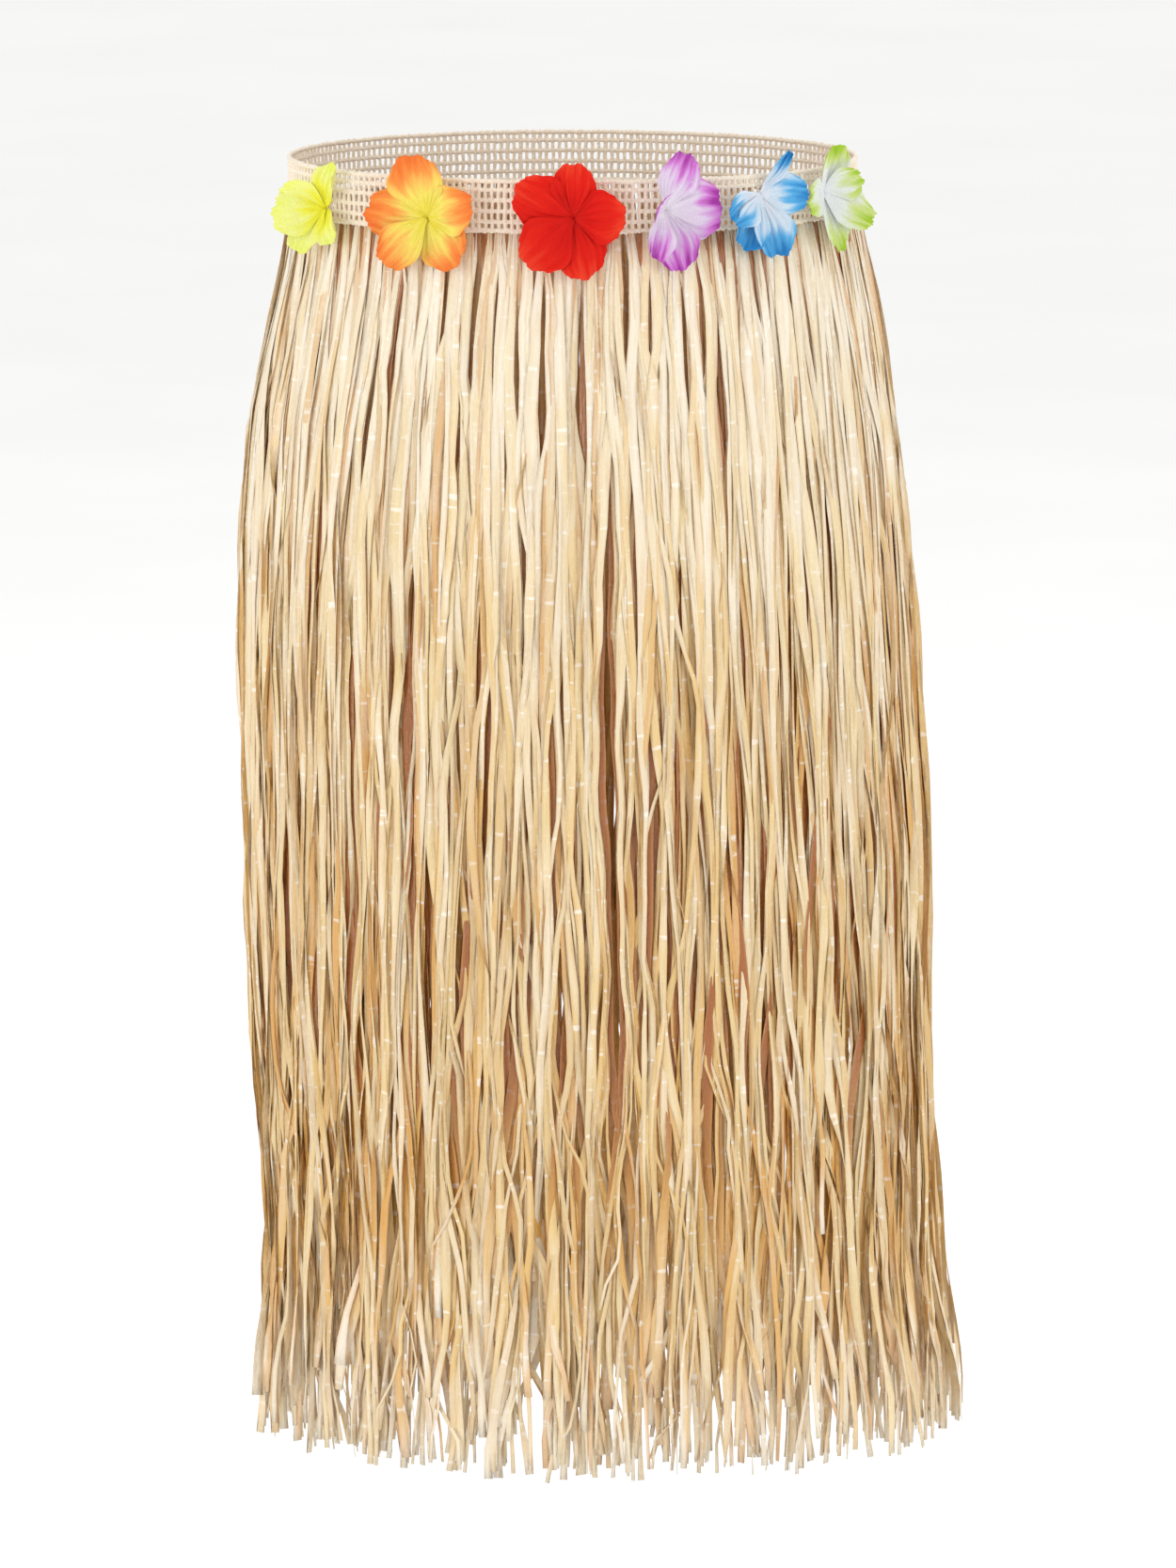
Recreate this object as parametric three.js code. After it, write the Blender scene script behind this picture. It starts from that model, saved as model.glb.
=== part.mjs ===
// A grass skirt as it is worn: a knitted waistband, a raffia fringe in hanks, and six cloth flowers.
// Millimetres, +Z up, the front faces -Y. The origin is the middle of the waistband.
import * as THREE from "three";

// Waistband: an oval ring of openwork knit with a thicker cord along each edge.
const bandHalfWidth = 174;
const bandHalfDepth = 124;
const bandHeight = 33;
const bandWall = 2.2;
const bandEdgeWall = 3;
const bandEdgeHeight = 3;
const bandColumns = 64;

// Fringe: its outer surface at each height. lean moves the oval sideways and back moves it rearwards.
const seamGap = 0.3;
const fringeTop = -bandHeight / 2 - seamGap;
const hemHeight = -776;
const fringeRings = [
  { z: fringeTop, halfWidth: 174, halfDepth: 124.5, lean: 0.5, back: 0, wall: 3, fold: 0.6 },
  { z: -40, halfWidth: 177, halfDepth: 128, lean: 2, back: 1, wall: 5, fold: 1.5 },
  { z: -90, halfWidth: 187.5, halfDepth: 136, lean: 1.5, back: 2, wall: 7, fold: 3 },
  { z: -140, halfWidth: 196.5, halfDepth: 143, lean: 0, back: 3, wall: 8, fold: 4 },
  { z: -210, halfWidth: 204, halfDepth: 150, lean: 1, back: 5, wall: 8, fold: 4.5 },
  { z: -290, halfWidth: 208, halfDepth: 155, lean: 2.5, back: 6, wall: 8, fold: 5 },
  { z: -400, halfWidth: 210.5, halfDepth: 158, lean: 8, back: 6, wall: 8, fold: 5 },
  { z: -520, halfWidth: 209.5, halfDepth: 160, lean: 10.5, back: 5, wall: 8, fold: 5 },
  { z: -640, halfWidth: 208.5, halfDepth: 163, lean: 15, back: 4, wall: 8, fold: 5.5 },
  { z: hemHeight, halfWidth: 212, halfDepth: 166, lean: 19, back: 3, wall: 8, fold: 6 },
];
const hankCount = 12;
const foldsPerHank = 3;
const columnsPerFold = 4;
const hemRagged = 34; // how much shorter the shortest ribbons are

// Flowers: each is one five-petal cut of cloth, sewn to the band through its middle.
const flowerCloth = 1.2;
const flowerStandOff = 2.4; // from the band's face to the middle of the flower's cloth
const flowerColumns = 30;
const flowerRings = 3;
const notchShare = 0.5; // how far out the cuts between petals stop, as a share of the petals' reach
const petalCurl = 1.5;

// around is the flower's place on the oval in degrees, from the front to the wearer's left.
// Each petal has its direction in degrees, anticlockwise from the flower's right as seen from outside,
// its reach along the band and its lift away from the band.
const flowers = [
  {
    name: "flower_yellow",
    colour: 0xe9ec5a,
    around: -58,
    height: -8,
    petals: [
      { direction: -43, reach: 25, lift: 9 },
      { direction: 61, reach: 33, lift: 6 },
      { direction: 135, reach: 20, lift: 20 },
      { direction: 190, reach: 19, lift: 25 },
      { direction: 253, reach: 28, lift: 12 },
    ],
  },
  {
    name: "flower_orange",
    colour: 0xf6a04a,
    around: -30,
    height: -8,
    petals: [
      { direction: -47, reach: 36, lift: 10 },
      { direction: 18, reach: 35, lift: 8 },
      { direction: 97, reach: 39, lift: 8 },
      { direction: 173, reach: 36, lift: 9 },
      { direction: 232, reach: 35, lift: 11 },
    ],
  },
  {
    name: "flower_red",
    colour: 0xf0281c,
    around: 0,
    height: -6,
    petals: [
      { direction: -77, reach: 36, lift: 11 },
      { direction: 5, reach: 32, lift: 8 },
      { direction: 88, reach: 34, lift: 8 },
      { direction: 150, reach: 39, lift: 8 },
      { direction: 223, reach: 38, lift: 11 },
    ],
  },
  {
    name: "flower_purple",
    colour: 0xd9a3dc,
    around: 18.5,
    height: -2,
    petals: [
      { direction: -77, reach: 36, lift: 9 },
      { direction: 3, reach: 34, lift: 3 },
      { direction: 72, reach: 37, lift: 6 },
      { direction: 150, reach: 12, lift: 27 },
      { direction: 250, reach: 29, lift: 16 },
    ],
  },
  {
    name: "flower_blue",
    colour: 0x6fb9e8,
    around: 40,
    height: 5,
    petals: [
      { direction: -84, reach: 38, lift: 12 },
      { direction: -1, reach: 26, lift: 12 },
      { direction: 62, reach: 30, lift: 10 },
      { direction: 205, reach: 30, lift: 9 },
      { direction: 238, reach: 36, lift: 10 },
    ],
  },
  {
    name: "flower_green",
    colour: 0xdfe8b4,
    around: 59.5,
    height: 2,
    petals: [
      { direction: -90, reach: 35, lift: 12 },
      { direction: -42, reach: 28, lift: 21 },
      { direction: 35, reach: 16, lift: 17 },
      { direction: 95, reach: 29, lift: 10 },
      { direction: 187, reach: 25, lift: 6 },
    ],
  },
];

const clothColours = { band: 0xefe3cf, straw: 0xdcc596 };

// A closed solid between two grids of points, front[row][column] and behind[row][column].
// Seen from the front, rows run down or outwards and columns run anticlockwise.
function wallBetween(front, behind, goesRound) {
  const places = [];
  const addTriangle = (a, b, c) => {
    const sameCorner = a.equals(b) || b.equals(c) || c.equals(a);
    if (!sameCorner) for (const p of [a, b, c]) places.push(p.x, p.y, p.z);
  };
  const addQuad = (a, b, c, d) => {
    addTriangle(a, b, c);
    addTriangle(a, c, d);
  };
  const lastRow = front.length - 1;
  const columns = front[0].length;
  const spans = goesRound ? columns : columns - 1;
  for (let column = 0; column < spans; column++) {
    const next = (column + 1) % columns;
    for (let row = 0; row < lastRow; row++) {
      const below = row + 1;
      addQuad(front[row][column], front[below][column], front[below][next], front[row][next]);
      addQuad(behind[row][column], behind[row][next], behind[below][next], behind[below][column]);
    }
    addQuad(front[0][column], front[0][next], behind[0][next], behind[0][column]);
    addQuad(front[lastRow][column], behind[lastRow][column], behind[lastRow][next], front[lastRow][next]);
  }
  if (!goesRound) {
    const last = columns - 1;
    for (let row = 0; row < lastRow; row++) {
      const below = row + 1;
      addQuad(front[row][0], behind[row][0], behind[below][0], front[below][0]);
      addQuad(front[row][last], front[below][last], behind[below][last], behind[row][last]);
    }
  }
  const geometry = new THREE.BufferGeometry();
  geometry.setAttribute("position", new THREE.Float32BufferAttribute(places, 3));
  geometry.computeVertexNormals();
  return geometry;
}

function clothMesh(name, geometry, colour, roughness) {
  const material = new THREE.MeshStandardMaterial({ color: colour, roughness, metalness: 0 });
  material.side = THREE.DoubleSide;
  const mesh = new THREE.Mesh(geometry, material);
  mesh.name = name;
  return mesh;
}

// A point on a level oval, angle in radians from the front (-Y) towards +X, moved inset towards the inside.
function ovalPoint(ring, angle, inset) {
  const outward = ovalNormal(ring, angle);
  return new THREE.Vector3(
    ring.lean + ring.halfWidth * Math.sin(angle) - inset * outward.x,
    ring.back - ring.halfDepth * Math.cos(angle) - inset * outward.y,
    ring.z,
  );
}

function ovalNormal(ring, angle) {
  return new THREE.Vector3(
    Math.sin(angle) / ring.halfWidth,
    -Math.cos(angle) / ring.halfDepth,
    0,
  ).normalize();
}

// The waistband: a thin wall, thicker along both edges.
function waistband() {
  const top = bandHeight / 2;
  const rows = [
    { z: top, wall: bandEdgeWall },
    { z: top - bandEdgeHeight, wall: bandEdgeWall },
    { z: top - 1.3 * bandEdgeHeight, wall: bandWall },
    { z: -top + 1.3 * bandEdgeHeight, wall: bandWall },
    { z: -top + bandEdgeHeight, wall: bandEdgeWall },
    { z: -top, wall: bandEdgeWall },
  ];
  const outside = [];
  const inside = [];
  for (const row of rows) {
    const ring = { z: row.z, halfWidth: bandHalfWidth, halfDepth: bandHalfDepth, lean: 0, back: 0 };
    const inset = (bandEdgeWall - row.wall) / 2;
    const angles = Array.from({ length: bandColumns }, (_, i) => (2 * Math.PI * i) / bandColumns);
    outside.push(angles.map((angle) => ovalPoint(ring, angle, inset)));
    inside.push(angles.map((angle) => ovalPoint(ring, angle, inset + row.wall)));
  }
  return clothMesh("waistband", wallBetween(outside, inside, true), clothColours.band, 0.9);
}

// The fringe's section at any height, between the two rings around it.
function fringeSection(z) {
  let upper = 0;
  while (upper < fringeRings.length - 2 && z < fringeRings[upper + 1].z) upper++;
  const above = fringeRings[upper];
  const below = fringeRings[upper + 1];
  const share = (above.z - z) / (above.z - below.z);
  const section = {};
  for (const key of Object.keys(above)) section[key] = THREE.MathUtils.lerp(above[key], below[key], share);
  return section;
}

// How deep a column of the fringe lies in its fold, from 0 on a crest to 1 in a trough.
function foldDepth(column) {
  const fold = Math.floor(column / columnsPerFold);
  const evenness = 0.75 + 0.25 * Math.sin(2.4 * fold);
  return 0.5 * evenness * (1 - Math.cos((2 * Math.PI * column) / columnsPerFold));
}

// Neighbouring columns end at unlike heights, because the ribbons are cut by hand.
function hemRise(column) {
  const unlikeStep = 2.4; // radians between neighbours, which never falls into step
  return hemRagged * (0.5 + 0.5 * Math.sin(unlikeStep * column));
}

// One hank: a pleated wall with a ragged hem, half a seam gap short of its neighbours on each side.
function hank(index) {
  const columns = foldsPerHank * columnsPerFold;
  const allColumns = hankCount * columns;
  const outside = [];
  const inside = [];
  fringeRings.forEach((ring, row) => {
    const outsideRow = [];
    const insideRow = [];
    for (let i = 0; i <= columns; i++) {
      const column = index * columns + i;
      const isHem = row === fringeRings.length - 1;
      const section = isHem ? fringeSection(ring.z + hemRise(column % allColumns)) : ring;
      const side = i === 0 ? 1 : i === columns ? -1 : 0;
      const trim = (side * seamGap) / (2 * section.halfDepth - 2 * section.wall);
      const angle = (2 * Math.PI * (column - columns / 2)) / allColumns + trim;
      const inset = section.fold * foldDepth(column);
      outsideRow.push(ovalPoint(section, angle, inset));
      insideRow.push(ovalPoint(section, angle, inset + section.wall));
    }
    outside.push(outsideRow);
    inside.push(insideRow);
  });
  const name = "grass_" + String(index + 1).padStart(2, "0");
  return clothMesh(name, wallBetween(outside, inside, false), clothColours.straw, 0.5);
}

// The rim of a flower in one direction: petals are full in their middles and cut in between them.
function petalRim(petals, degrees) {
  const turn = (from, to) => THREE.MathUtils.euclideanModulo(to - from, 360);
  let before = petals.length - 1;
  petals.forEach((petal, i) => {
    const next = petals[(i + 1) % petals.length];
    if (turn(petal.direction, degrees) < turn(petal.direction, next.direction)) before = i;
  });
  const left = petals[before];
  const right = petals[(before + 1) % petals.length];
  const share = turn(left.direction, degrees) / turn(left.direction, right.direction);
  const fullness = Math.sqrt(Math.abs(Math.cos(Math.PI * share)));
  const size = notchShare + (1 - notchShare) * fullness;
  const ease = THREE.MathUtils.smoothstep(share, 0.25, 0.75);
  return {
    reach: size * THREE.MathUtils.lerp(left.reach, right.reach, ease),
    lift: size * THREE.MathUtils.lerp(left.lift, right.lift, ease),
  };
}

// One flower: a cupped rosette of cloth whose middle lies on the band.
function flower(spec) {
  const angle = THREE.MathUtils.degToRad(spec.around);
  const ring = { z: spec.height, halfWidth: bandHalfWidth, halfDepth: bandHalfDepth, lean: 0, back: 0 };
  const outward = ovalNormal(ring, angle);
  const up = new THREE.Vector3(0, 0, 1);
  const along = new THREE.Vector3().crossVectors(up, outward);
  const middle = ovalPoint(ring, angle, -flowerStandOff);
  const place = (share, degrees, offset) => {
    const rim = petalRim(spec.petals, degrees);
    const direction = THREE.MathUtils.degToRad(degrees);
    const slope = Math.atan2(rim.lift * petalCurl * Math.pow(share, petalCurl - 1), rim.reach);
    const reach = rim.reach * share - offset * Math.sin(slope);
    const lift = rim.lift * Math.pow(share, petalCurl) + offset * Math.cos(slope);
    return middle
      .clone()
      .addScaledVector(along, reach * Math.cos(direction))
      .addScaledVector(up, reach * Math.sin(direction))
      .addScaledVector(outward, lift);
  };
  const front = [];
  const behind = [];
  for (let row = 0; row <= flowerRings; row++) {
    const share = row / flowerRings;
    const frontRow = [];
    const behindRow = [];
    for (let column = 0; column < flowerColumns; column++) {
      const degrees = (360 * column) / flowerColumns;
      frontRow.push(place(share, degrees, flowerCloth / 2));
      behindRow.push(place(share, degrees, -flowerCloth / 2));
    }
    front.push(frontRow);
    behind.push(behindRow);
  }
  return clothMesh(spec.name, wallBetween(front, behind, true), spec.colour, 0.8);
}

const group = new THREE.Group();
group.add(waistband());
for (let index = 0; index < hankCount; index++) group.add(hank(index));
for (const spec of flowers) group.add(flower(spec));

export default group;
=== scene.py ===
import math

import bpy
import numpy as np
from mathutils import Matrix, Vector
from mathutils.bvhtree import BVHTree


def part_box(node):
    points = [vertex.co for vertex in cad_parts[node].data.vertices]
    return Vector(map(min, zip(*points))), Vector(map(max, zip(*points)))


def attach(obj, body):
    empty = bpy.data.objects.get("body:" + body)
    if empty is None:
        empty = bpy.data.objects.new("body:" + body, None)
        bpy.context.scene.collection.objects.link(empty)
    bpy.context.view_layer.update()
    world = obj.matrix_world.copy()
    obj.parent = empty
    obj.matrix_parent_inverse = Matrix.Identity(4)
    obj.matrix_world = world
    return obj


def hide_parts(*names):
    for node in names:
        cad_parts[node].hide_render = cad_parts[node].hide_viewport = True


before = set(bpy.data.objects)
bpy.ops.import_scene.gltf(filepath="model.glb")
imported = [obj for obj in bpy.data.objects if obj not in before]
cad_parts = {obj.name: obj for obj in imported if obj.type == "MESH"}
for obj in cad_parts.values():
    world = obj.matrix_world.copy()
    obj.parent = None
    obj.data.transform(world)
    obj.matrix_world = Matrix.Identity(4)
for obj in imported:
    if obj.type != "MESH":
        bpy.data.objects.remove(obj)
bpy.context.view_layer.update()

mm = 0.001
rng = np.random.default_rng(7)


def linearColour(hexColour):
    # sRGB hex to the linear colour that shaders want
    channels = [int(hexColour[i:i + 2], 16) / 255 for i in (1, 3, 5)]
    return [c / 12.92 if c <= 0.04045 else ((c + 0.055) / 1.055) ** 2.4 for c in channels] + [1.0]


def addNode(tree, kind, settings=None, inputs=None, stops=None):
    # one node with its settings, its input values or links, and a ramp's colour stops
    node = tree.nodes.new(kind)
    for name, value in (settings or {}).items():
        setattr(node, name, value)
    for key, value in (inputs or {}).items():
        if isinstance(value, bpy.types.NodeSocket):
            tree.links.new(value, node.inputs[key])
        else:
            node.inputs[key].default_value = value
    if stops:
        elements = node.color_ramp.elements
        while len(elements) < len(stops):
            elements.new(0.5)
        for element, (place, colour) in zip(elements, stops):
            element.position = place
            element.color = linearColour(colour) if isinstance(colour, str) else (colour,) * 3 + (1,)
    return node


def readAttribute(tree, name):
    return addNode(tree, "ShaderNodeAttribute", {"attribute_name": name}).outputs["Fac"]


def timesNode(tree, value, factor):
    return addNode(tree, "ShaderNodeMath", {"operation": "MULTIPLY"}, {0: value, 1: factor}).outputs[0]


def mixNode(tree, share, first, second, blend="MIX"):
    # share 0 gives the first colour and 1 the second
    return addNode(tree, "ShaderNodeMix", {"data_type": "RGBA", "blend_type": blend},
                   {0: share, 6: first, 7: second}).outputs[2]


def noiseNode(tree, place, scale=1.0, detail=2.0, roughness=0.5):
    return addNode(tree, "ShaderNodeTexNoise", None, {
        "Vector": place, "Scale": scale, "Detail": detail, "Roughness": roughness}).outputs["Fac"]


def softRange(tree, value, low, high, top=1.0):
    # 0 below low and top above high, with a soft change between
    return addNode(tree, "ShaderNodeMapRange", {"interpolation_type": "SMOOTHSTEP"}, {
        "Value": value, "From Min": low, "From Max": high, "To Max": top}).outputs["Result"]


def newMaterial(name):
    material = bpy.data.materials.new(name)
    material.use_nodes = True
    material.node_tree.nodes.clear()
    return material, material.node_tree


def smoothStep(low, high, value):
    share = np.clip((value - low) / (high - low), 0, 1)
    return share * share * (3 - 2 * share)


def newMesh(name, points, faces, material, attributes=None):
    mesh = bpy.data.meshes.new(name)
    mesh.from_pydata(points, [], faces)
    for key, values in (attributes or {}).items():
        layer = mesh.attributes.new(key, "FLOAT", "POINT")
        layer.data.foreach_set("value", np.asarray(values, np.float32))
    mesh.materials.append(material)
    mesh.polygons.foreach_set("use_smooth", [True] * len(mesh.polygons))
    mesh.update()
    piece = bpy.data.objects.new(name, mesh)
    bpy.context.scene.collection.objects.link(piece)
    return piece


# the oval of the waistband, as the solid has it
bandLow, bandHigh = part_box("waistband")
bandCentre = (bandLow + bandHigh) / 2
bandHalfWidth = (bandHigh.x - bandLow.x) / 2
bandHalfDepth = (bandHigh.y - bandLow.y) / 2
bandHeight = bandHigh.z - bandLow.z


def bandPoint(angle, inset):
    # angle from the front towards +X, as a place on the oval and its outward direction
    outX = np.sin(angle) / bandHalfWidth
    outY = -np.cos(angle) / bandHalfDepth
    size = np.hypot(outX, outY)
    outX, outY = outX / size, outY / size
    x = bandCentre.x + bandHalfWidth * np.sin(angle) - inset * outX
    y = bandCentre.y - bandHalfDepth * np.cos(angle) - inset * outY
    return x, y, outX, outY


def evenAngles(count):
    # angles that are evenly far apart round the oval
    fine = np.linspace(0, 2 * np.pi, 2881)
    x, y, _, _ = bandPoint(fine, 0)
    run = np.concatenate([[0], np.cumsum(np.hypot(np.diff(x), np.diff(y)))])
    return np.interp(np.arange(count) / count * run[-1], run, fine), run[-1]


knitYarn = {
    "light": "#FBF0E0",
    "dark": "#E6D3B8",
    "roughness": 0.85,
    "plySize": 1.1 * mm,  # the yarn's plies are about 0.4 mm, drawn coarser so that they show
    "plyDepth": 0.4 * mm,
    "fuzz": 0.3,
}


def makeKnitYarn():
    # soft cotton-covered elastic, knitted: matt, with a fuzzy ply that breaks up the light
    material, tree = newMaterial("knittedCottonElastic")
    place = addNode(tree, "ShaderNodeTexCoord")
    ply = noiseNode(tree, place.outputs["Object"], 1 / knitYarn["plySize"])
    colour = addNode(tree, "ShaderNodeValToRGB", None, {"Fac": ply},
                     [(0.3, knitYarn["dark"]), (0.65, knitYarn["light"])])
    bump = addNode(tree, "ShaderNodeBump", None, {
        "Height": ply, "Strength": 0.5, "Distance": knitYarn["plyDepth"]})
    surface = addNode(tree, "ShaderNodeBsdfPrincipled", None, {
        "Base Color": colour.outputs["Color"], "Roughness": knitYarn["roughness"],
        "Normal": bump.outputs["Normal"], "Sheen Weight": knitYarn["fuzz"]})
    addNode(tree, "ShaderNodeOutputMaterial", None, {"Surface": surface.outputs["BSDF"]})
    return material


raffiaFilm = {
    # colour from the waist down to the tips, and the ribbons' tones from dark to pale; the dark orange end,
    # given to the inner layers, is painted shade
    "along": [(0.0, "#EFE8DA"), (0.14, "#EBDFC6"), (0.36, "#DFC288"), (0.8, "#D9B468"), (0.92, "#E2C68C"),
              (1.0, "#F6F0E2")],
    "tone": [(0.0, "#E09C3E"), (0.3, "#ECBC66"), (0.6, "#EFDCAA"), (1.0, "#F6F0E0")],
    "toneShare": 0.55,  # how far the ribbon's own tone wins over the colour along the fringe
    "paintedSheen": "#F3EDE0",  # painted sheen: pale patches where the ribbons would face the light
    # how much of the painted sheen shows, from the waist down
    "paintedSheenAlong": [(0.0, 0.85), (0.25, 0.6), (0.6, 0.38), (0.88, 0.3), (0.97, 0.9)],
    "paintedSheenLength": 48 * mm,
    "paintedGlint": "#FFFDF8",  # painted glints: short bright bars across the ribbon, where crinkles would catch the light
    "glintLength": 6 * mm,
    "deep": "#A05C28",  # painted shade: dark warm brown on the ribbons' edges and on the outward faces of the innermost ribbons, which lie in shade
    "roughness": 0.3,
    "roughnessRange": (0.14, -0.1),  # added in the dull and in the shiny parts
    "specular": 0.65,
    "streaks": 7.0,  # drawn creases across one ribbon, each about 0.7 mm
    "streakLength": 35 * mm,
    "streakTonesAndShade": [(0.3, "#DDA256"), (0.5, "#F8E8C8"), (0.7, "#FFFFFF")],
    "streakShare": 0.3,
    "streakDepth": 0.5 * mm,
    "crinkleAcross": 2.5 * mm,
    "crinkleAlong": 6 * mm,
    "crinkleDepth": 1.4 * mm,
}


def makeRaffiaFilm(length):
    # drawn and slit polypropylene film, gathered lengthways: a satin with streaks along it, and short
    # crinkles across it that catch the light; its colour also holds painted sheen patches, painted glints
    # and painted shade
    material, tree = newMaterial("slitRaffiaFilm")
    along = readAttribute(tree, "along")
    across = readAttribute(tree, "across")
    tone = readAttribute(tree, "tone")
    shadeShare = readAttribute(tree, "shadeShare")
    ownPattern = timesNode(tree, tone, 311.0)  # every ribbon reads another part of the noise

    def filmPlace(acrossPlace, repeat):
        # a place on the film for noise, with a new feature every repeat along it
        return addNode(tree, "ShaderNodeCombineXYZ", None, {
            0: acrossPlace, 1: timesNode(tree, along, length / repeat), 2: ownPattern}).outputs[0]

    lengthways = addNode(tree, "ShaderNodeValToRGB", None, {"Fac": along}, raffiaFilm["along"])
    perRibbon = addNode(tree, "ShaderNodeValToRGB", None, {"Fac": tone}, raffiaFilm["tone"])
    film = mixNode(tree, raffiaFilm["toneShare"], lengthways.outputs["Color"], perRibbon.outputs["Color"])
    # painted sheen: pale patches where the ribbons would face the light, less where painted shade lies
    sheenNoise = noiseNode(tree, filmPlace(across, raffiaFilm["paintedSheenLength"]), detail=1.5)
    sheenPatch = softRange(tree, sheenNoise, 0.4, 0.66)
    paintedSheenAlong = addNode(tree, "ShaderNodeValToRGB", None, {"Fac": along}, raffiaFilm["paintedSheenAlong"])
    outsidePaintedShade = addNode(tree, "ShaderNodeMath", {"operation": "MULTIPLY_ADD", "use_clamp": True},
                      {0: shadeShare, 1: -3.0, 2: 1.0})
    sheenOutsideShade = timesNode(tree, paintedSheenAlong.outputs["Color"], outsidePaintedShade.outputs[0])
    sheenShare = timesNode(tree, sheenPatch, sheenOutsideShade)
    film = mixNode(tree, sheenShare, film, linearColour(raffiaFilm["paintedSheen"]))
    # painted glints: short bright bars that run across the ribbon, so they change little that way
    glintAcross = timesNode(tree, across, 0.35)
    paintedGlint = softRange(tree, noiseNode(tree, filmPlace(glintAcross, raffiaFilm["glintLength"])),
                      0.63, 0.71, 0.7)
    film = mixNode(tree, paintedGlint, film, linearColour(raffiaFilm["paintedGlint"]))
    # painted shade on the ribbons' edges and on the innermost ribbons' outward faces
    film = mixNode(tree, shadeShare, film, linearColour(raffiaFilm["deep"]))
    # fine streaks along the ribbon: their own tone, with painted shade in the troughs of their bump
    streakAcross = timesNode(tree, across, raffiaFilm["streaks"])
    streak = noiseNode(tree, filmPlace(streakAcross, raffiaFilm["streakLength"]), detail=3.0, roughness=0.6)
    shade = addNode(tree, "ShaderNodeValToRGB", None, {"Fac": streak}, raffiaFilm["streakTonesAndShade"])
    film = mixNode(tree, raffiaFilm["streakShare"], film, shade.outputs["Color"], "MULTIPLY")
    # crinkles across the ribbon
    place = addNode(tree, "ShaderNodeTexCoord")
    crinklePlace = addNode(tree, "ShaderNodeMapping", None, {
        "Vector": place.outputs["Object"],
        "Scale": (1 / raffiaFilm["crinkleAcross"], 1 / raffiaFilm["crinkleAcross"],
                  1 / raffiaFilm["crinkleAlong"])})
    crinkle = noiseNode(tree, crinklePlace.outputs[0])
    dull, shiny = raffiaFilm["roughnessRange"]
    gloss = addNode(tree, "ShaderNodeMapRange", None, {
        "Value": crinkle, "From Min": 0.35, "From Max": 0.65,
        "To Min": raffiaFilm["roughness"] + dull, "To Max": raffiaFilm["roughness"] + shiny})
    streakBump = addNode(tree, "ShaderNodeBump", None, {
        "Height": streak, "Strength": 0.6, "Distance": raffiaFilm["streakDepth"]})
    bump = addNode(tree, "ShaderNodeBump", None, {
        "Height": crinkle, "Strength": 0.6, "Distance": raffiaFilm["crinkleDepth"],
        "Normal": streakBump.outputs["Normal"]})
    surface = addNode(tree, "ShaderNodeBsdfPrincipled", None, {
        "Base Color": film, "Roughness": gloss.outputs["Result"], "IOR": 1.5,
        "Specular IOR Level": raffiaFilm["specular"], "Normal": bump.outputs["Normal"]})
    addNode(tree, "ShaderNodeOutputMaterial", None, {"Surface": surface.outputs["BSDF"]})
    return material


petalCloth = {
    "dyeRun": 0.22,  # how far the dye runs in and out, as a share of the petal's length
    "dyeStreaks": 4.5,
    "weave": 0.9 * mm,  # the satin's threads are about 0.2 mm, drawn coarser so that they show
    "weaveDepth": 0.2 * mm,
    "weaveShades": [(0.3, 0.88), (0.7, 1.0)],
    "roughness": 0.75,
    "specular": 0.2,
    "throughLight": 0.15,
    "throughReach": 1.2 * mm,
}


def makePetalCloth(name, stops):
    # starched polyester satin, heat-pressed and dip-dyed: dye runs out from the middle in streaks
    material, tree = newMaterial(name)
    along = readAttribute(tree, "along")
    streakPlace = addNode(tree, "ShaderNodeCombineXYZ", None, {
        0: timesNode(tree, readAttribute(tree, "across"), petalCloth["dyeStreaks"]), 1: along,
        2: timesNode(tree, readAttribute(tree, "tone"), 57.0)})
    run = noiseNode(tree, streakPlace.outputs[0], 1.3)
    runShift = addNode(tree, "ShaderNodeMapRange", None, {
        "Value": run, "From Min": 0.3, "From Max": 0.7,
        "To Min": -petalCloth["dyeRun"], "To Max": petalCloth["dyeRun"]})
    reach = addNode(tree, "ShaderNodeMath", {"operation": "ADD"}, {0: along, 1: runShift.outputs["Result"]})
    dye = addNode(tree, "ShaderNodeValToRGB", None, {"Fac": reach.outputs[0]}, stops)
    place = addNode(tree, "ShaderNodeTexCoord")
    weave = noiseNode(tree, place.outputs["Object"], 1 / petalCloth["weave"])
    shade = addNode(tree, "ShaderNodeValToRGB", None, {"Fac": weave}, petalCloth["weaveShades"])
    cloth = mixNode(tree, 1.0, dye.outputs["Color"], shade.outputs["Color"], "MULTIPLY")
    bump = addNode(tree, "ShaderNodeBump", None, {
        "Height": weave, "Strength": 0.25, "Distance": petalCloth["weaveDepth"]})
    surface = addNode(tree, "ShaderNodeBsdfPrincipled", None, {
        "Base Color": cloth, "Roughness": petalCloth["roughness"], "Normal": bump.outputs["Normal"],
        "Specular IOR Level": petalCloth["specular"],
        "Subsurface Weight": petalCloth["throughLight"], "Subsurface Radius": (1.0, 0.8, 0.6),
        "Subsurface Scale": petalCloth["throughReach"]})
    addNode(tree, "ShaderNodeOutputMaterial", None, {"Surface": surface.outputs["BSDF"]})
    return material


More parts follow.
